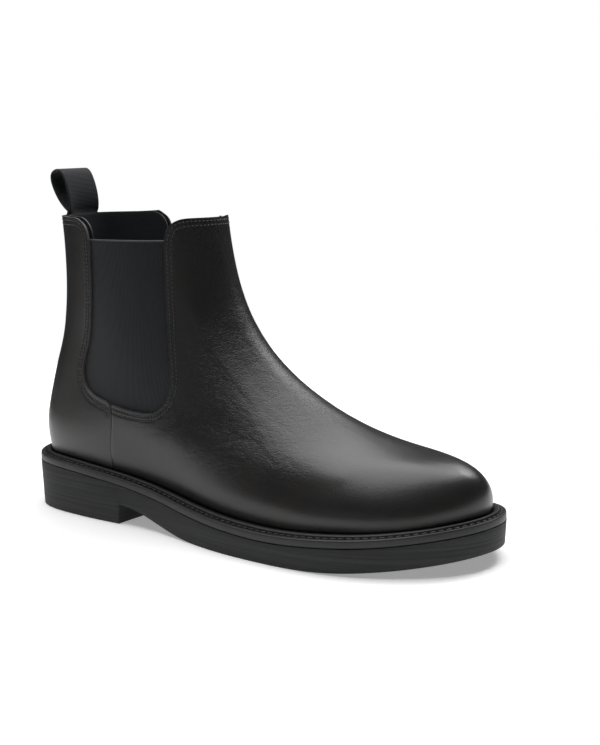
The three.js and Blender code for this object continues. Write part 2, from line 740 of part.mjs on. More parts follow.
function addOutsole() {
  const breastX = rim(0, WELT_WIDTH).x + HEEL_LENGTH;
  const breast = (x, floor) =>
    soleStation(rimAngle(x, WELT_WIDTH, false), rimAngle(x, WELT_WIDTH, true), floor);
  const breastTurn = rimAngle(breastX, WELT_WIDTH, false);
  const heel = turnsBetween(0, breastTurn - 3, 14).map((turn) => soleStation(turn, 360 - turn, 0));
  const fore = turnsBetween(breastTurn + 4, 180, 32).map((turn) =>
    soleStation(turn, 360 - turn, soleFoot(planX(turn))),
  );
  add(
    "outsole",
    strips([...heel, breast(breastX, 0), breast(breastX + BREAST_SLANT, ARCH_CLEARANCE), ...fore]),
    rubber,
  );
}

addLeathers();
addBackStrip();
addLinings();
addToePuff();
addHeelCounter();
addGores();
addTabLegs();
addTabLoop();
addWelt();
addThread();
addInsole();
addRib();
addFillers();
addOutsole();

// The part's origin is the middle of its footprint, on the floor.
const bounds = new THREE.Box3().setFromObject(boot);
const middle = bounds.getCenter(new THREE.Vector3());
boot.position.set(-middle.x, -middle.y, -bounds.min.z);

export default boot;
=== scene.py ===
import math

import bmesh
import bpy
from mathutils import Matrix, Vector, noise
from mathutils.bvhtree import BVHTree
from mathutils.kdtree import KDTree


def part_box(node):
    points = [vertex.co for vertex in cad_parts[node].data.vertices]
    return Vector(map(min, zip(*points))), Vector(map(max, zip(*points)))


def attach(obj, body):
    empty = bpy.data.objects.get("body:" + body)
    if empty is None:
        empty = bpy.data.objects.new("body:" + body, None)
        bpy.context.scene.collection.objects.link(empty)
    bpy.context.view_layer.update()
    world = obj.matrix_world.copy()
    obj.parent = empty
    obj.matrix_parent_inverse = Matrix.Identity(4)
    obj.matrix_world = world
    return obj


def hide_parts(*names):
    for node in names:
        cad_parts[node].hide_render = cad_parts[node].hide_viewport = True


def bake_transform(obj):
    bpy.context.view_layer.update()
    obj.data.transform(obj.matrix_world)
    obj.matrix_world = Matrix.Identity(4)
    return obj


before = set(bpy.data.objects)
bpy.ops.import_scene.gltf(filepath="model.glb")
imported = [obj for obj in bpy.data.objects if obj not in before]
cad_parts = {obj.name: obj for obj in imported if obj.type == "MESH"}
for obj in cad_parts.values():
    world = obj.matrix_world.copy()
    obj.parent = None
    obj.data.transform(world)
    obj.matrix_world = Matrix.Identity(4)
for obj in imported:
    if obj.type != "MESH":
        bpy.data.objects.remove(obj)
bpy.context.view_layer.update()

MM = 0.001
for spare in ("Cube", "Light", "Camera"):
    if spare in bpy.data.objects:
        bpy.data.objects.remove(bpy.data.objects[spare])

# Sizes of the boot's own pieces, in metres.
LEATHER = 1.6 * MM
LINING = 1.0 * MM
ELASTIC = 0.9 * MM
BACK_STRIP = 1.1 * MM
WEBBING = 1.1 * MM
ROW_IN = 1.9 * MM  # first stitch row, from the leather's edge
ROW_GAP = 2.5 * MM  # between the two rows
STITCH = 2.4 * MM
STRIP_ROW_IN = 1.5 * MM  # the back strip's one row, from its edge
LINING_ROWS_IN = (2.2 * MM, 5.0 * MM)  # the lining's two rows, from its top edge
WELT_STITCH = 4.4 * MM
THREAD = 0.75 * MM
STITCH_BATCH = 30  # stitches made in one go; a longer batch is slow
GORE_FOOT = 64 * MM  # the quarters are sewn above this height, beside the gores
GORE_TOP = 150 * MM  # only the gores' top edges are above this height
SHAFT_FOOT = 50 * MM  # the front's edge beside the gores and along the topline is above this height
COLLAR = 168 * MM  # the lining is sewn above this height
TAB_WIDTH = 25 * MM
TAB_RISE = 26.8 * MM  # pivot to the top of the loop, along its lean
TAB_DEPTH = 12.5 * MM  # front to back through the loop
TAB_LEAN = math.radians(20)
TAB_PIVOT = Vector((-0.13065, 0.00083, 0.1836))
TAB_STRANDS = 8  # faces across the webbing

# The camera: its place as angles and a distance from what it looks at, in degrees and metres.
CAMERA_AIM = Vector((0.03668, 0.00083, 0.0945))
CAMERA_TURN = 36.54
CAMERA_RISE = 9.66
CAMERA_TILT = -1.22
CAMERA_DISTANCE = 0.79136
CAMERA_LENS = 67.71  # millimetres, on a 36 mm sensor
FLOOR_REACH = 0.55  # middle of the floor to its edge


# ---------------------------------------------------------------- camera, light and floor

def place_camera():
    """Looks at the outer side from in front and a little above."""
    turn, rise, tilt = (math.radians(a) for a in (CAMERA_TURN, CAMERA_RISE, CAMERA_TILT))
    level = math.cos(rise)
    back = Vector((math.sin(turn) * level, -math.cos(turn) * level, math.sin(rise)))
    right = Vector((math.cos(turn), math.sin(turn), 0))
    up = back.cross(right)
    side = right * math.cos(tilt) + up * math.sin(tilt)
    top = up * math.cos(tilt) - right * math.sin(tilt)
    data = bpy.data.cameras.new("camera")
    data.sensor_width = 36
    data.lens = CAMERA_LENS
    camera = bpy.data.objects.new("camera", data)
    bpy.context.collection.objects.link(camera)
    facing = Matrix((side, top, back)).transposed().to_4x4()
    camera.matrix_world = Matrix.Translation(CAMERA_AIM + back * CAMERA_DISTANCE) @ facing
    bpy.context.scene.camera = camera


def soft_box(name, where, aim, width, height, power, colour=(1, 1, 1)):
    """A rectangular light in metres and watts, turned towards a point."""
    data = bpy.data.lights.new(name, "AREA")
    data.shape = "RECTANGLE"
    data.size = width
    data.size_y = height
    data.energy = power
    data.color = colour
    light = bpy.data.objects.new(name, data)
    bpy.context.collection.objects.link(light)
    light.location = where
    light.rotation_euler = (Vector(aim) - Vector(where)).to_track_quat("-Z", "Y").to_euler()


def light_the_table():
    """Large soft boxes, mostly overhead, before a white background that lights nothing itself."""
    soft_box("top_box", (-0.25, 0.1, 1.35), (-0.05, 0.02, 0.05), 1.4, 1.5, 27)
    soft_box("back_box", (0.15, 1.0, 1.0), (0.02, 0, 0.08), 0.8, 0.4, 4.5)
    soft_box("toe_box", (0.32, 0.7, 1.1), (0.08, 0, 0.08), 0.4, 0.4, 4.5)
    soft_box("left_fill", (-1.2, -0.5, 0.35), (-0.05, 0, 0.08), 0.35, 0.9, 0.35, (1, 0.93, 0.85))
    soft_box("front_fill", (0.1, -1.6, 0.45), (0, 0, 0.08), 1.2, 0.5, 0.6)
    world = bpy.data.worlds.new("studio")
    bpy.context.scene.world = world
    world.use_nodes = True
    tree = world.node_tree
    background = tree.nodes["Background"]
    background.inputs["Color"].default_value = (1, 1, 1, 1)
    path = tree.nodes.new("ShaderNodeLightPath")
    glow = tree.nodes.new("ShaderNodeMapRange")
    glow.inputs["To Min"].default_value = 0.05
    glow.inputs["To Max"].default_value = 1.0
    tree.links.new(path.outputs["Is Camera Ray"], glow.inputs["Value"])
    tree.links.new(glow.outputs["Result"], background.inputs["Strength"])
    bpy.context.scene.view_settings.view_transform = "Standard"


def lay_floor():
    """A small white table; past its edge the background is as white."""
    bm = bmesh.new()
    bmesh.ops.create_grid(bm, x_segments=1, y_segments=1, size=FLOOR_REACH)
    mesh = bpy.data.meshes.new("floor")
    bm.to_mesh(mesh)
    bm.free()
    floor = bpy.data.objects.new("floor", mesh)
    bpy.context.collection.objects.link(floor)
    finish = Finish("pale_floor", Roughness=0.7)
    finish.set("Base Color", (0.88, 0.88, 0.88, 1))
    finish.set("Emission Color", (1, 1, 1, 1))
    finish.set("Emission Strength", 0.3)
    mesh.materials.append(finish.material)


# ---------------------------------------------------------------- finishes

class Wire:
    """A value inside a finish; sums written with it add Math nodes."""

    def __init__(self, finish, socket):
        self.finish = finish
        self.socket = socket

    def sum(self, operation, *values):
        return self.finish.node("ShaderNodeMath", {"operation": operation}, dict(enumerate(values)))

    def __add__(self, other):
        return self.sum("ADD", self, other)

    def __radd__(self, other):
        return self.sum("ADD", other, self)

    def __sub__(self, other):
        return self.sum("SUBTRACT", self, other)

    def __rsub__(self, other):
        return self.sum("SUBTRACT", other, self)

    def __mul__(self, other):
        return self.sum("MULTIPLY", self, other)

    def __rmul__(self, other):
        return self.sum("MULTIPLY", other, self)

    def wave(self):
        """A sine of the value, from 0 to 1."""
        return self.sum("SINE", self) * 0.5 + 0.5

    def band(self, low, high):
        """0 below low, 1 above high, and smooth between them."""
        return self.finish.node(
            "ShaderNodeMapRange",
            {"interpolation_type": "SMOOTHSTEP"},
            {"Value": self, "From Min": low, "From Max": high},
        )


class Finish:
    """The material of one kind of piece."""

    def __init__(self, name, **constants):
        self.material = bpy.data.materials.new(name)
        self.material.use_nodes = True
        self.tree = self.material.node_tree
        self.shader = self.tree.nodes["Principled BSDF"]
        for socket, amount in constants.items():
            self.set(socket.replace("_", " "), amount)

    def set(self, socket, value):
        """Gives a socket of the shader a constant or a wire."""
        if isinstance(value, Wire):
            self.tree.links.new(value.socket, self.shader.inputs[socket])
        else:
            self.shader.inputs[socket].default_value = value

    def node(self, kind, settings=None, sockets=None, out=0):
        """Adds a node with its settings and sockets, and gives one of its outputs."""
        node = self.tree.nodes.new(kind)
        for name, value in (settings or {}).items():
            setattr(node, name, value)
        for name, value in (sockets or {}).items():
            if isinstance(value, Wire):
                self.tree.links.new(value.socket, node.inputs[name])
            else:
                node.inputs[name].default_value = value
        return Wire(self, node.outputs[out])

    def place(self, stretch):
        """Object coordinates, stretched."""
        where = self.node("ShaderNodeTexCoord", out="Object")
        return self.node("ShaderNodeMapping", {}, {"Vector": where, "Scale": stretch})

    def cloud(self, scale, stretch=(1, 1, 1), detail=3.0, twist=0.0):
        """Noise of so many grains to the metre."""
        where = self.place(stretch)
        sockets = {"Vector": where, "Scale": scale, "Detail": detail, "Distortion": twist}
        return self.node("ShaderNodeTexNoise", {}, sockets)

    def pebbles(self, scale, stretch=(1, 1, 1)):
        """Rounded cells, so many to the metre."""
        where = self.place(stretch)
        return self.node("ShaderNodeTexVoronoi", {}, {"Vector": where, "Scale": scale})

    def mark(self, name):
        """A number that a piece's mesh carries."""
        return self.node("ShaderNodeAttribute", {"attribute_name": name}, out="Fac")

    def blend(self, share, first, second):
        """A colour between two others."""
        node = self.tree.nodes.new("ShaderNodeMix")
        node.data_type = "RGBA"
        self.tree.links.new(share.socket, node.inputs[0])
        for socket, colour in ((node.inputs[6], first), (node.inputs[7], second)):
            if isinstance(colour, Wire):
                self.tree.links.new(colour.socket, socket)
            else:
                socket.default_value = (*colour, 1)
        return Wire(self, node.outputs[2])

    def emboss(self, height, depth, strength=1.0):
        """Raises the surface by the height, a wire from 0 to 1, times a depth in metres."""
        sockets = {"Height": height, "Distance": depth, "Strength": strength}
        self.set("Normal", self.node("ShaderNodeBump", {}, sockets))


def calf_leather():
    """Black calf with a satin polish, creased where it bends, dull where sewn, and with painted
    shade darkening its colour along the stitch rows.
    """
    finish = Finish("black_calf", Specular_IOR_Level=0.42, Coat_Roughness=0.28)
    tone = finish.cloud(22, detail=4)
    pores = finish.pebbles(1700)
    break_in = finish.mark("creased")
    wrinkles = finish.cloud(430, stretch=(0.8, 1, 2.0), detail=4, twist=1.4)
    ripples = finish.cloud(120, stretch=(1, 1, 1.5), detail=3, twist=0.8)
    dark = finish.blend(tone.band(0.35, 0.7), (0.0085, 0.0085, 0.0095), (0.0135, 0.012, 0.0112))
    dyed = finish.blend(pores * 0.35, dark, (0.02, 0.0185, 0.0175))
    sewn = finish.mark("sewn")
    # painted shade: near the stitch rows the colour is darkened as if the pressed groove were in
    # shade; the extra roughness there is the real dullness of sewn leather
    finish.set("Base Color", finish.blend(sewn * 0.85, dyed, (0.003, 0.003, 0.0033)))
    finish.set("Roughness", 0.29 + tone * 0.1 + break_in * wrinkles * 0.12 + sewn * 0.35)
    finish.set("Coat Weight", 0.12 - break_in * 0.05)
    soft = pores * 0.10 + finish.cloud(700, detail=3) * 0.12
    creases = break_in * (wrinkles * 0.7 + ripples * 0.45)
    finish.emboss(soft + creases + ripples * 0.1, 0.45 * MM, 0.8)
    return finish.material


def cut_edge():
    """The leather's dyed and rubbed cut edge, coloured lighter than the grain side: partly the raw
    edge's own tone, partly a painted highlight along the edges.
    """
    finish = Finish("edge_tone_and_painted_highlight", Specular_IOR_Level=0.4)
    fibres = finish.cloud(2600, detail=2)
    # the edge colour is lighter than the leather: partly the raw edge's tone, partly a painted
    # highlight standing in for light catching the cut edges
    finish.set("Base Color", finish.blend(fibres, (0.03, 0.029, 0.028), (0.075, 0.071, 0.068)))
    finish.set("Roughness", 0.5 + fibres * 0.15)
    finish.emboss(fibres, 0.08 * MM)
    return finish.material


def lining_leather():
    """Dull black lining leather with a soft grain."""
    finish = Finish("black_lining_leather", Specular_IOR_Level=0.35)
    tone = finish.cloud(30, detail=3)
    grain = finish.pebbles(1200)
    shade = tone.band(0.3, 0.7)
    finish.set("Base Color", finish.blend(shade, (0.017, 0.019, 0.023), (0.026, 0.028, 0.033)))
    finish.set("Roughness", 0.5 + tone * 0.12)
    finish.emboss(grain * 0.3 + finish.cloud(260, detail=4) * 0.5, 0.3 * MM, 0.6)
    return finish.material


def ribbed_elastic():
    """Side elastic: fine upright ribs of covered rubber, with a flat woven weft between them."""
    finish = Finish(
        "ribbed_elastic", Specular_IOR_Level=0.25, Sheen_Weight=0.12, Sheen_Roughness=0.5
    )
    where = finish.node("ShaderNodeTexCoord", out="Object")
    x = finish.node("ShaderNodeSeparateXYZ", {}, {0: where}, out="X")
    z = finish.node("ShaderNodeSeparateXYZ", {}, {0: where}, out="Z")
    ribs = (x * (math.tau / (0.95 * MM))).wave()
    weft = (z * (math.tau / (0.55 * MM))).wave()
    fuzz = finish.cloud(1500, detail=2)
    worn = finish.cloud(45, detail=3)
    dark = finish.blend(worn, (0.0125, 0.0135, 0.016), (0.019, 0.0205, 0.0235))
    finish.set("Base Color", finish.blend(ribs * 0.6 + weft * 0.12, (0.008, 0.009, 0.011), dark))
    finish.set("Roughness", 0.72 + fuzz * 0.14)
    finish.emboss(ribs * 0.75 + weft * 0.2 * ribs + fuzz * 0.15, 0.22 * MM, 0.7)
    return finish.material


def grosgrain():
    """Webbing with fine ribs across the band."""
    finish = Finish(
        "grosgrain_webbing", Specular_IOR_Level=0.25, Sheen_Weight=0.18, Sheen_Roughness=0.45
    )
    along = finish.mark("along")
    across = finish.mark("across")
    ribs = (along * (math.tau / (0.8 * MM))).wave()
    yarns = (across * (math.tau / (0.45 * MM))).wave()
    fuzz = finish.cloud(1800, detail=2)
    tone = finish.blend(ribs * 0.7 + yarns * 0.2, (0.0055, 0.006, 0.0085), (0.0135, 0.0145, 0.019))
    finish.set("Base Color", tone)
    finish.set("Roughness", 0.68 + fuzz * 0.15)
    finish.emboss(ribs * 0.8 + yarns * 0.25 + fuzz * 0.1, 0.2 * MM, 0.75)
    return finish.material


def welt_rubber():
    """Moulded welt with a slight gloss."""
    finish = Finish("welt_rubber", Specular_IOR_Level=0.4)
    tone = finish.cloud(60, detail=4)
    fine = finish.cloud(900, detail=3)
    finish.set("Base Color", finish.blend(tone, (0.011, 0.011, 0.0112), (0.021, 0.021, 0.0212)))
    finish.set("Roughness", 0.4 + fine * 0.16)
    finish.emboss(fine, 0.06 * MM, 0.6)
    return finish.material


def sole_rubber():
    """Buffed sole wall: matte, with fine level strokes."""
    finish = Finish("sole_rubber", Specular_IOR_Level=0.35)
    strokes = finish.cloud(160, stretch=(0.07, 0.07, 4.0), detail=4)
    broad = finish.cloud(34, stretch=(0.5, 0.5, 2.0), detail=3)
    grit = finish.cloud(1100, detail=2)
    shade = strokes.band(0.32, 0.68) * 0.8 + broad * 0.3 - 0.1
    finish.set("Base Color", finish.blend(shade, (0.0065, 0.007, 0.0078), (0.025, 0.026, 0.0275)))
    finish.set("Roughness", 0.55 + strokes * 0.22)
    finish.emboss(strokes * 0.8 + grit * 0.2, 0.5 * MM, 0.9)
    return finish.material


def waxed_thread():
    """Dark thread with a fine twist."""
    finish = Finish("waxed_thread", Specular_IOR_Level=0.45, Sheen_Weight=0.1)
    twist = (finish.cloud(2400, detail=1) * 9).wave()
    finish.set("Base Color", finish.blend(twist, (0.022, 0.022, 0.024), (0.06, 0.06, 0.063)))
    finish.set("Roughness", 0.42 + twist * 0.15)
    finish.emboss(twist, 0.1 * MM, 0.6)
    return finish.material


def plain_stuff(name, dark, light, grains, rough, stretch=(1, 1, 1), metal=0.0, depth=0.2):
    """A pressed, ground, woven or rolled material with a grain."""
    finish = Finish(name, Metallic=metal)
    coarse = finish.pebbles(grains, stretch)
    fine = finish.cloud(grains * 2.5, stretch, detail=4)
    finish.set("Base Color", finish.blend(coarse * 0.5 + fine * 0.5, dark, light))
    finish.set("Roughness", rough + fine * 0.12)
    finish.emboss(coarse * 0.4 + fine * 0.6, depth * MM, 0.6)
    return finish.material


# ---------------------------------------------------------------- making pieces

def welded(node):
    """A bmesh of a CAD node's shape with its corners welded and its triangles paired."""
    bm = bmesh.new()
    bm.from_mesh(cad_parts[node].data)
    bmesh.ops.remove_doubles(bm, verts=bm.verts, dist=0.00001)
    bmesh.ops.join_triangles(
        bm,
        faces=bm.faces,
        angle_face_threshold=math.radians(50),
        angle_shape_threshold=math.pi,
    )
    return bm


def islands(bm):
    """The separate sheets of faces of a bmesh."""
    left = set(bm.faces)
    found = []
    while left:
        front = [left.pop()]
        sheet = list(front)
        while front:
            face = front.pop()
            for edge in face.edges:
                for other in edge.link_faces:
                    if other in left:
                        left.discard(other)
                        front.append(other)
                        sheet.append(other)
        found.append(sheet)
    return found


def skin(node, thickness, inner=False):
    """The outer side of a thin CAD shell, as an open sheet; or its inner side."""
    bm = welded(node)
    bm.normal_update()
    tree = BVHTree.FromBMesh(bm)
    rim = []
    for face in bm.faces:
        middle = (face.verts[0].co + face.verts[1].co) / 2
        start = face.calc_center_median().lerp(middle, 0.3) - face.normal * thickness * 0.3
        hit, normal, _, _ = tree.ray_cast(start, -face.normal, thickness * 1.8)
        if hit is None or normal.dot(face.normal) > -0.6:
            rim.append(face)
    bmesh.ops.delete(bm, geom=rim, context="FACES")
    sheets = sorted(islands(bm), key=lambda sheet: sum(face.calc_area() for face in sheet))
    kept = set(sheets[-2 if inner else -1])
    spare = [face for face in bm.faces if face not in kept]
    bmesh.ops.delete(bm, geom=spare, context="FACES")
    return bm


def crease_folds(bm, angle, crease):
    """Keeps edges sharper than an angle from being smoothed away."""
    layer = bm.edges.layers.float.new("crease_edge")
    for edge in bm.edges:
        if edge.calc_face_angle(0) > math.radians(angle):
            edge[layer] = crease


def piece(name, bm, *materials):
    """An object of a finished bmesh."""
    mesh = bpy.data.meshes.new(name)
    for face in bm.faces:
        face.smooth = True
    bm.to_mesh(mesh)
    bm.free()
    for material in materials:
        mesh.materials.append(material)
    thing = bpy.data.objects.new(name, mesh)
    bpy.context.collection.objects.link(thing)
    return thing


def smooth_out(thing, levels):
    """Adds a subdivision surface."""
    modifier = thing.modifiers.new("smooth", "SUBSURF")
    modifier.levels = levels
    modifier.render_levels = levels
    modifier.boundary_smooth = "PRESERVE_CORNERS"


def thicken(thing, thickness, offset=-1.0, rim=0):
    """Gives a sheet its wall, inwards from it unless the offset says otherwise."""
    modifier = thing.modifiers.new("thickness", "SOLIDIFY")
    modifier.thickness = thickness
    modifier.offset = offset
    modifier.use_even_offset = True
    modifier.use_quality_normals = True
    modifier.material_offset_rim = rim


def soften(thing, width, angle=50):
    """Rounds off sharp edges."""
    modifier = thing.modifiers.new("edges", "BEVEL")
    modifier.width = width
    modifier.segments = 2
    modifier.limit_method = "ANGLE"
    modifier.angle_limit = math.radians(angle)
    modifier.profile = 0.5
    modifier.material = -1


def settled(thing):
    """A bmesh of a piece with its modifiers carried out, and the piece itself removed."""
    bpy.context.view_layer.update()
    seen = thing.evaluated_get(bpy.context.evaluated_depsgraph_get())
    bm = bmesh.new()
    bm.from_mesh(seen.to_mesh())
    seen.to_mesh_clear()
    bpy.data.objects.remove(thing)
    return bm


def settle(thing):
    """Carries out a piece's modifiers on its own mesh."""
    bpy.context.view_layer.update()
    seen = thing.evaluated_get(bpy.context.evaluated_depsgraph_get())
    mesh = bpy.data.meshes.new_from_object(seen)
    thing.modifiers.clear()
    thing.data = mesh
    mesh.name = thing.name


def fine_skin(node, thickness, levels, inner=False):
    """The smooth, close-meshed outer side of a thin CAD shell."""
    bm = skin(node, thickness, inner)
    crease_folds(bm, 40, 1.0)
    thing = piece("working_sheet", bm)
    smooth_out(thing, levels)
    return settled(thing)


def border_runs(bm, corner=35):
    """Runs of corners along the border of a sheet, cut where the border turns sharply."""
    bm.edges.index_update()
    left = {edge for edge in bm.edges if edge.is_boundary}
    runs = []
    while left:
        edge = min(left, key=lambda e: e.index)
        left.discard(edge)
        first, vert = edge.verts
        loop = [first, vert]
        while vert is not first:
            edge = next(e for e in vert.link_edges if e in left)
            left.discard(edge)
            vert = edge.other_vert(vert)
            loop.append(vert)
        loop.pop()
        count = len(loop)
        turns = []
        for i, here in enumerate(loop):
            before = (here.co - loop[i - 1].co).normalized()
            after = (loop[(i + 1) % count].co - here.co).normalized()
            if before.angle(after, 0) > math.radians(corner):
                turns.append(i)
        if not turns:
            runs.append([*loop, loop[0]])
            continue
        for start, end in zip(turns, [*turns[1:], turns[0] + count]):
            runs.append([loop[i % count] for i in range(start, end + 1)])
    return runs


def sewing_line(bm, tree, run, inset):
    """Points on the sheet at a set distance inside one run of its border."""
    border = [(vert.co.copy(), vert.normal.copy()) for vert in run]
    middles = {}
    for vert in run:
        faces = vert.link_faces
        middles[vert] = sum((face.calc_center_median() for face in faces), Vector()) / len(faces)
    near = KDTree(len(border))
    for i, (co, _) in enumerate(border):
        near.insert(co, i)
    near.balance()
    line = []
    for i, vert in enumerate(run):
        ahead = border[min(i + 2, len(run) - 1)][0] - border[max(i - 2, 0)][0]
        inward = ahead.cross(vert.normal).normalized()
        if inward.dot(middles[vert] - vert.co) < 0:
            inward.negate()
        hit, normal, _, _ = tree.find_nearest(vert.co + inward * inset)
        if near.find(hit)[2] > inset * 0.93:
            line.append((hit, normal))
    return line


def evenly(line, pitch):
    """Places at even steps along a line of (point, normal), with the line's direction at each."""
    places = []
    walked = 0.0
    due = pitch / 2
    for (here, up), (there, _) in zip(line, line[1:]):
        step = (there - here).length
        if step < 1e-7:
            continue
        while due <= walked + step:
            where = here.lerp(there, (due - walked) / step)
            places.append((where, (there - here).normalized(), up))
            due += pitch
        walked += step
    return places


def sew(bm, line, pitch, thickness, share=0.82, sink=0.1, slant=0.0):
    """Adds a row of stitches, each a small bead of thread that lies on the leather or sinks in."""
    places = evenly(line, pitch)
    lying = Matrix.Rotation(math.pi / 2, 4, "Y")
    for start in range(0, len(places), STITCH_BATCH):
        few = bmesh.new()
        for where, along, up in places[start:start + STITCH_BATCH]:
            across = up.cross(along).normalized()
            upright = along.cross(across).normalized()
            along = (along + across * slant).normalized()
            across = upright.cross(along)
            turned = Matrix((along, across, upright)).transposed().to_4x4()
            size = Matrix.Diagonal((pitch * share / 2, thickness / 2, thickness * 0.42, 1))
            at = Matrix.Translation(where - upright * thickness * sink)
            shape = at @ turned @ size @ lying
            bmesh.ops.create_uvsphere(few, u_segments=8, v_segments=5, radius=1, matrix=shape)
        mesh = bpy.data.meshes.new("few_stitches")
        few.to_mesh(mesh)
        few.free()
        bm.from_mesh(mesh)
        bpy.data.meshes.remove(mesh)


def tread_in(bm, lines, reach, depth):
    """Presses a sheet down along its stitch rows, and marks how near each place is to one; the
    leather's finish uses this mark to make it duller there and to darken it with painted shade.
    """
    layer = bm.verts.layers.float.new("sewn")
    points = [where for line in lines for where, _ in line]
    if not points:
        return
    near = KDTree(len(points))
    for i, where in enumerate(points):
        near.insert(where, i)
    near.balance()
    bm.normal_update()
    for vert in bm.verts:
        away = near.find(vert.co)[2]
        if away < reach:
            pressed = (1 - away / reach) ** 2 * (1 + 2 * away / reach)
            vert.co -= vert.normal * depth * pressed
            vert[layer] = pressed


def between(value, low, high):
    """0 below low, 1 above high, and smooth between them."""
    share = min(max((value - low) / (high - low), 0.0), 1.0)
    return share * share * (3 - 2 * share)


def bend_mark(co):
    """How much the leather creases here: at the toe joint, the ankle and a little at the heel."""
    x, z = co.x, co.z
    ankle = between(z, 0.045, 0.07) * (1 - between(z, 0.095, 0.14)) * between(x, -0.075, -0.04)
    ankle *= 1 - between(x, 0.02, 0.06)
    joint = between(x, -0.03, 0.005) * (1 - between(x, 0.05, 0.085)) * between(z, 0.036, 0.05)
    heel = 0.18 * (1 - between(x, -0.1, -0.07))
    return min(1.0, ankle + joint + heel)


def crease_leather(bm, depth):
    """Moves the sheet in shallow folds, and marks how creased each place is."""
    layer = bm.verts.layers.float.new("creased")
    bm.normal_update()
    moves = []
    for vert in bm.verts:
        creased = bend_mark(vert.co)
        vert[layer] = creased
        x, y, z = vert.co
        swell = noise.noise(Vector((x * 38, y * 30, z * 46)))
        drift = noise.noise(Vector((x * 21 + 5, y * 21, z * 21)))
        slope = x * 70 + z * 55 + drift * 1.6
        folds = noise.noise(Vector((slope, y * 26, z * 120 - x * 34 + drift * 2)))
        ridged = 1 - min(1.0, abs(folds) * 3.2)
        moves.append(vert.normal * (swell * 0.45 * depth - ridged * creased * depth * 0.3))
    edge = {vert for e in bm.edges if e.is_boundary for vert in e.verts}
    for vert, move in zip(bm.verts, moves):
        if vert not in edge:
            vert.co += move


def fit(thing, slot, *nodes):
    """Puts a finished piece on the boot in place of the CAD nodes it stands for."""
    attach(thing, "boot")
    if nodes:
        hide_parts(*nodes)


def rounded(name, node, slot, material, levels, bevel, crease=1.0, angle=35):
    """A CAD shape made smooth, with its sharp edges kept and softened."""
    bm = welded(node)
    crease_folds(bm, angle, crease)
    thing = piece(name, bm, material)
    smooth_out(thing, levels)
    if bevel:
        soften(thing, bevel, 40)
    settle(thing)
    fit(thing, slot, node)
    return thing


# ---------------------------------------------------------------- the boot's pieces

def leather_piece(name, node, rows_for, thickness=LEATHER, pull=0.3 * MM, lowest=0.0):
    """One piece of the upper: creased, pressed down under its stitch rows, and cut to thickness."""
    bm = fine_skin(node, thickness, 3)
    crease_leather(bm, 0.45 * MM)
    bm.normal_update()
    tree = BVHTree.FromBMesh(bm)
    lines = []
    for run in border_runs(bm):
        for inset in rows_for(run):
            line = sewing_line(bm, tree, run, inset)
            lines.append([(where, up) for where, up in line if where.z > lowest])
    tread_in(bm, lines, 1.3 * MM, pull)
    for line in lines:
        line[:] = [(where - up * pull * 0.45, up) for where, up in line]
    thing = piece(name, bm, black_calf, edge_tone_and_highlight)
    thicken(thing, thickness, rim=1)
    soften(thing, 0.35 * MM)
    settle(thing)
    fit(thing, "upper_leather", node)
    return lines


def run_length(run):
    return sum((b.co - a.co).length for a, b in zip(run, run[1:]))


def run_foot(run):
    """The height of a run's lowest point."""
    return min(vert.co.z for vert in run)


def front_rows(run):
    """Two rows beside the gores and along the topline."""
    if run_foot(run) > SHAFT_FOOT and run_length(run) > 50 * MM:
        return [ROW_IN, ROW_IN + ROW_GAP]
    return []


def quarter_rows(run):
    """Two rows along the one long edge: up the seam, beside the gore and along the topline."""
    if run_length(run) > 200 * MM:
        return [ROW_IN, ROW_IN + ROW_GAP]
    return []


def strip_rows(run):
    """One row along each of the strip's long edges."""
    if run_length(run) > 100 * MM:
        return [STRIP_ROW_IN]
    return []


def make_upper():
    """The front, the two quarters and the back strip, with their stitches."""
    lines = leather_piece("front_leather", "front_panel", front_rows)
    for side in ("lateral", "medial"):
        name, node = side + "_quarter_leather", "quarter_" + side
        lines += leather_piece(name, node, quarter_rows, lowest=GORE_FOOT)
    bm = bmesh.new()
    for line in lines:
        sew(bm, line, STITCH, THREAD, share=0.72, sink=-0.12, slant=0.08)
    strip = leather_piece("back_strip_leather", "back_strip", strip_rows, BACK_STRIP, 0.12 * MM)
    for line in strip:
        sew(bm, line, STITCH, 0.65 * MM, share=0.72, sink=-0.1)
    fit(piece("upper_stitches", bm, thread), "stitch_thread")


def make_lining():
    """The lining's two halves, with two rows of stitches inside the collar."""
    bm = bmesh.new()
    for name, node in (
        ("front_lining_leather", "front_lining"),
        ("heel_lining_leather", "rear_lining"),
    ):
        rounded(name, node, "lining_leather", lining, 2, 0.25 * MM, angle=65)
        sheet = fine_skin(node, LINING, 2, inner=True)
        sheet.normal_update()
        tree = BVHTree.FromBMesh(sheet)
        for run in border_runs(sheet):
            if max(vert.co.z for vert in run) < COLLAR + 2 * MM:
                continue
            for inset in LINING_ROWS_IN:
                line = sewing_line(sheet, tree, run, inset)
                top = [(where, up) for where, up in line if where.z > COLLAR]
                sew(bm, top, STITCH, 0.5 * MM)
        sheet.free()
    fit(piece("lining_stitches", bm, thread), "stitch_thread")


def tube(name, points, radius, material):
    """A thin round bead along a line of points."""
    curve = bpy.data.curves.new(name, "CURVE")
    curve.dimensions = "3D"
    curve.bevel_depth = radius
    curve.bevel_resolution = 2
    curve.use_fill_caps = True
    spline = curve.splines.new("POLY")
    spline.points.add(len(points) - 1)
    for spot, where in zip(spline.points, points):
        spot.co = (*where, 1)
    thing = bpy.data.objects.new(name, curve)
    bpy.context.collection.objects.link(thing)
    seen = thing.evaluated_get(bpy.context.evaluated_depsgraph_get())
    mesh = bpy.data.meshes.new_from_object(seen)
    bpy.data.objects.remove(thing)
    mesh.materials.clear()
    mesh.materials.append(material)
    for polygon in mesh.polygons:
        polygon.use_smooth = True
    made = bpy.data.objects.new(name, mesh)
    bpy.context.collection.objects.link(made)
    return made


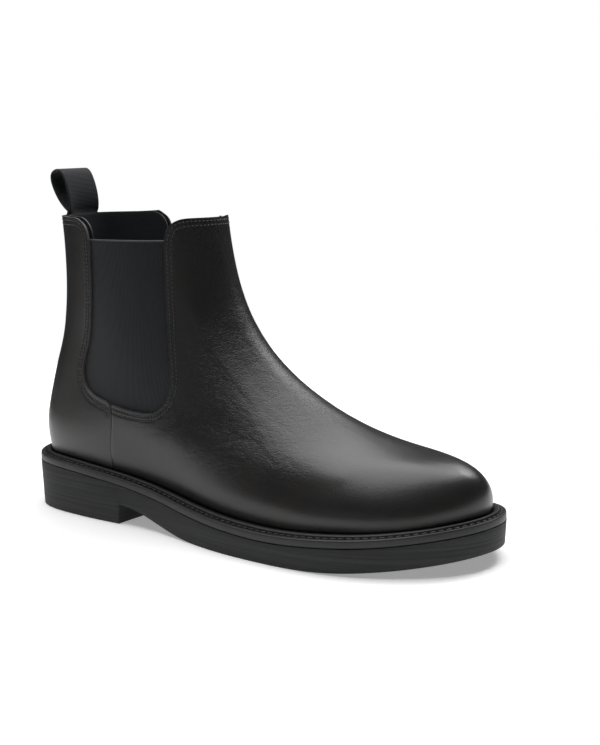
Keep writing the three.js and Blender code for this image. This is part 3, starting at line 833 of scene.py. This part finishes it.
def make_gores():
    """The two elastic gores, each with a woven bead along its top edge."""
    for side in ("lateral", "medial"):
        bm = fine_skin("gore_" + side, ELASTIC, 3)
        bm.normal_update()
        for run in border_runs(bm):
            if run_foot(run) > GORE_TOP and run_length(run) > 40 * MM:
                hem = [vert.co - vert.normal * ELASTIC / 2 for vert in run]
        thing = piece(side + "_elastic", bm, elastic)
        thicken(thing, ELASTIC)
        soften(thing, 0.25 * MM)
        settle(thing)
        fit(thing, "gore_elastic", "gore_" + side)
        fit(tube(side + "_elastic_hem", hem, 0.62 * MM, elastic_edge), "gore_elastic")


def bezier(a, b, c, d, share):
    """A point on a curve with four guides."""
    rest = 1 - share
    return a * rest**3 + 3 * b * rest * rest * share + 3 * c * rest * share * share + d * share**3


def loop_line():
    """The band's middle line in the loop's own plane, from its back foot round to its front one."""
    half = TAB_DEPTH / 2 - WEBBING / 2
    rise = TAB_RISE - WEBBING / 2
    foot = 0.55 * WEBBING
    up = [
        Vector((-foot, 0)),
        Vector((-half * 0.5, rise * 0.1)),
        Vector((-half, rise * 0.35)),
        Vector((-half, rise * 0.68)),
    ]
    over = [
        Vector((-half, rise * 0.68)),
        Vector((-half, rise * 0.93)),
        Vector((-half * 0.6, rise)),
        Vector((0, rise)),
    ]
    back = [bezier(*up, i / 12) for i in range(13)] + [bezier(*over, i / 8) for i in range(1, 9)]
    front = [Vector((-p.x, p.y)) for p in reversed(back[:-1])]
    return back + front


def make_pull_tab():
    """One length of webbing: up between leather and lining, round the loop, and down again."""
    legs = BVHTree.FromBMesh(welded("pull_tab_legs"))
    foot, top = (corner.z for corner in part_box("pull_tab_legs"))
    heights = [foot + 0.6 * MM + (top - foot - 3.1 * MM) * i / 7 for i in range(8)]

    def leg(y, z, side):
        """A place on the band's front or back leg, inside the boot."""
        hit = legs.ray_cast(Vector((-1, y, z)), Vector((1, 0, 0)))[0]
        if hit is None:
            hit = legs.find_nearest(Vector((-1, y, z + 0.002)))[0]
        return Vector((hit.x + 0.7 * MM + side * 0.55 * WEBBING, y, z))

    def loop(point, y):
        """A place on the loop, which leans back and bows a little at its foot."""
        away = y - TAB_PIVOT.y
        sag = away * away * 13 * max(1 - point.y / TAB_RISE, 0) ** 1.5
        lean, upright = math.sin(TAB_LEAN), math.cos(TAB_LEAN)
        return Vector((
            TAB_PIVOT.x + point.x * upright - point.y * lean + sag,
            y,
            TAB_PIVOT.z + point.y * upright + point.x * lean,
        ))

    stations = [lambda y, z=z: leg(y, z, -1) for z in heights]
    stations += [lambda y, p=p: loop(p, y) for p in loop_line()]
    stations += [lambda y, z=z: leg(y, z, 1) for z in reversed(heights)]
    ys = [TAB_PIVOT.y + TAB_WIDTH * (i / TAB_STRANDS - 0.5) for i in range(TAB_STRANDS + 1)]
    middle = TAB_STRANDS // 2
    bm = bmesh.new()
    along = bm.verts.layers.float.new("along")
    across = bm.verts.layers.float.new("across")
    row = [bm.verts.new(stations[0](y)) for y in ys]
    for vert, y in zip(row, ys):
        vert[across] = y
    edges = [bm.edges.new(pair) for pair in zip(row, row[1:])]
    walked = 0.0
    for station in stations[1:]:
        before = row[middle].co.copy()
        grown = bmesh.ops.extrude_edge_only(bm, edges=edges)["geom"]
        edges = [item for item in grown if isinstance(item, bmesh.types.BMEdge)]
        row = [item for item in grown if isinstance(item, bmesh.types.BMVert)]
        row.sort(key=lambda vert: vert.co.y)
        for vert, y in zip(row, ys):
            vert.co = station(y)
        walked += (row[middle].co - before).length
        for vert, y in zip(row, ys):
            vert[along] = walked
            vert[across] = y
    bmesh.ops.recalc_face_normals(bm, faces=bm.faces)
    thing = piece("pull_tab_webbing", bm, webbing)
    smooth_out(thing, 2)
    thicken(thing, WEBBING, 0)
    soften(thing, 0.3 * MM)
    settle(thing)
    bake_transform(thing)
    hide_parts("pull_tab_loop", "pull_tab_legs")


def ring_line(node, gap=0.0015):
    """The middle line of a ring, found from the clusters of its corners."""
    bm = welded(node)
    corners = [vert.co.copy() for vert in bm.verts]
    bm.free()
    centre = sum(corners, Vector()) / len(corners)
    corners.sort(key=lambda co: math.atan2(co.y - centre.y, (co.x - centre.x) * 0.35))
    groups = [[corners[0]]]
    for co in corners[1:]:
        mean = sum(groups[-1], Vector()) / len(groups[-1])
        if (co - mean).length < gap:
            groups[-1].append(co)
        else:
            groups.append([co])
    first = sum(groups[0], Vector()) / len(groups[0])
    last = sum(groups[-1], Vector()) / len(groups[-1])
    if (first - last).length < gap:
        groups[0] += groups.pop()
    return [sum(group, Vector()) / len(group) for group in groups]


def catmull(points, cuts):
    """A smooth closed line through points."""
    line = []
    count = len(points)
    for i in range(count):
        a, b, c, d = (points[(i + k) % count] for k in (-1, 0, 1, 2))
        for j in range(cuts):
            t = j / cuts
            bend = (2 * a - 5 * b + 4 * c - d) * t * t
            twist = (3 * b - a - 3 * c + d) * t**3
            line.append(0.5 * (2 * b + (c - a) * t + bend + twist))
    return line


def make_bottom():
    """The storm welt with its long stitches, and the outsole."""
    rounded("storm_welt_rubber", "storm_welt", "welt_rubber", welt_finish, 2, 0.0, 0.55, 50)
    rounded("outsole_rubber", "outsole", "sole_rubber", sole_finish, 2, 0.55 * MM)
    line = catmull(ring_line("welt_stitch_thread"), 8)
    line.append(line[0])
    path = [(where, Vector((0, 0, 1))) for where in line]
    bm = bmesh.new()
    sew(bm, path, WELT_STITCH, 1.15 * MM, share=0.84, sink=-0.62, slant=0.07)
    fit(piece("welt_stitches", bm, thread), "stitch_thread", "welt_stitch_thread")


def make_insides():
    """The sock, the soft heel cushion, and the finishes of what the upper hides."""
    rounded("sock_leather", "sock_liner", "lining_leather", lining, 1, 0.25 * MM)
    pad = rounded("heel_cushion", "heel_pad", "lining_leather", lining, 2, 0.0, 0.25)
    for node, material in (
        ("toe_puff", fibre),
        ("heel_counter", fibre),
        ("insole_board", board),
        ("insole_rib", board),
        ("cork_filler", cork),
        ("waist_filler", felt),
        ("shank", steel),
    ):
        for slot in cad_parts[node].material_slots:
            slot.material = material


place_camera()
light_the_table()
lay_floor()

black_calf = calf_leather()
edge_tone_and_highlight = cut_edge()
lining = lining_leather()
elastic = ribbed_elastic()
elastic_edge = plain_stuff(
    "elastic_selvedge", (0.02, 0.021, 0.023), (0.05, 0.052, 0.056), 1600, 0.6
)
webbing = grosgrain()
welt_finish = welt_rubber()
sole_finish = sole_rubber()
thread = waxed_thread()
fibre = plain_stuff("stiffener_fibre", (0.42, 0.36, 0.27), (0.62, 0.56, 0.45), 700, 0.8)
board = plain_stuff("insole_fibreboard", (0.23, 0.15, 0.08), (0.38, 0.27, 0.16), 900, 0.75)
cork = plain_stuff("ground_cork", (0.16, 0.085, 0.035), (0.48, 0.30, 0.15), 420, 0.85, depth=0.5)
felt = plain_stuff("grey_felt", (0.11, 0.11, 0.11), (0.24, 0.23, 0.22), 1300, 0.9)
steel = plain_stuff(
    "rolled_steel", (0.36, 0.37, 0.38), (0.52, 0.53, 0.54), 300, 0.3, (0.1, 3, 3), 1.0, 0.05
)

make_upper()
make_lining()
make_gores()
make_pull_tab()
make_bottom()
make_insides()
